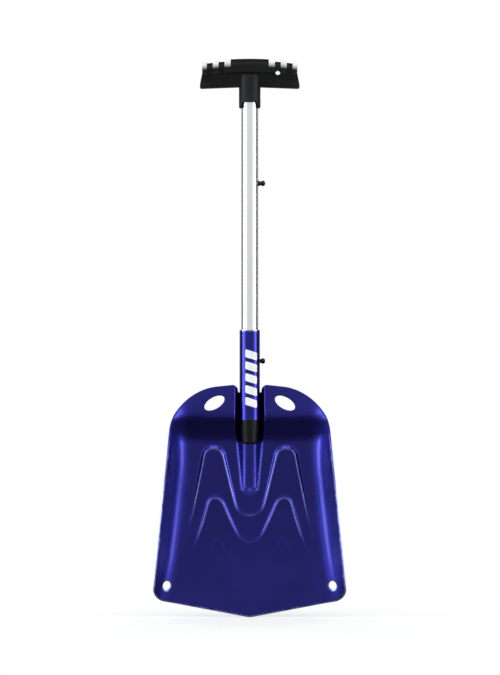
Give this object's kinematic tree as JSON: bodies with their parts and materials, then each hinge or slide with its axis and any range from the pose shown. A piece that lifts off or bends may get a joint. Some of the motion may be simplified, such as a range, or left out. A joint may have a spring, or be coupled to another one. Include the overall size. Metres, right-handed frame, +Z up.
{
  "type": "avalanche shovel",
  "caption": "Snow shovel with a pressed scoop, a shaft that slides into the scoop's sleeve and locks with snap pins, and a T-grip.",
  "frame": {"origin": "on the shaft's axis, level with the scoop's tip", "axes": "+Z up the shaft towards the grip, +X towards the side the snap pins come out of, -Y towards the scoop's hollow side"},
  "size_m": [0.2784, 0.0531, 0.8117],
  "materials": {
    "anodised_scoop": "blue satin anodised",
    "anodised_sleeve": "blue semi-bright anodised",
    "rivet_metal": "plain, lightly brushed",
    "bare_tube": "clear anodised, fine drawn grain along the tube",
    "plug_plastic": "black, fine texture",
    "grip_plastic": "black, fine texture",
    "rib_rubber": "grey, smooth",
    "pin_steel": "dark, polished",
    "spring_steel": "bare spring steel"
  },
  "bodies": {
    "scoop": {"scoop_blade": "anodised_scoop", "lower_sleeve": "anodised_sleeve", "sleeve_rivets": "rivet_metal"},
    "shaft": {"shaft_tube": "bare_tube", "shaft_end_plug": "plug_plastic", "grip_body": "grip_plastic", "grip_ribs": "rib_rubber", "grip_rivet": "rivet_metal", "lower_leaf_spring": "spring_steel", "upper_leaf_spring": "spring_steel"},
    "lower_pin": {"lower_snap_pin": "pin_steel"},
    "upper_pin": {"upper_snap_pin": "pin_steel"}
  },
  "joints": [
    {"name": "shaft_slide", "type": "slide", "parent": "scoop", "child": "shaft", "axis": [0, 0, 1], "range_m": [-0.2575, 0], "deforming": ["lower_snap_pin", "upper_snap_pin"]},
    {"name": "lower_pin_press", "type": "slide", "parent": "shaft", "child": "lower_pin", "axis": [1, 0, 0], "range_m": [-0.0103, 0], "stiffness_N_per_m": 900, "springref_m": 0.004, "deforming": ["lower_leaf_spring"]},
    {"name": "upper_pin_press", "type": "slide", "parent": "shaft", "child": "upper_pin", "axis": [1, 0, 0], "range_m": [-0.0103, 0], "stiffness_N_per_m": 900, "springref_m": 0.004, "deforming": ["upper_leaf_spring"]}
  ]
}
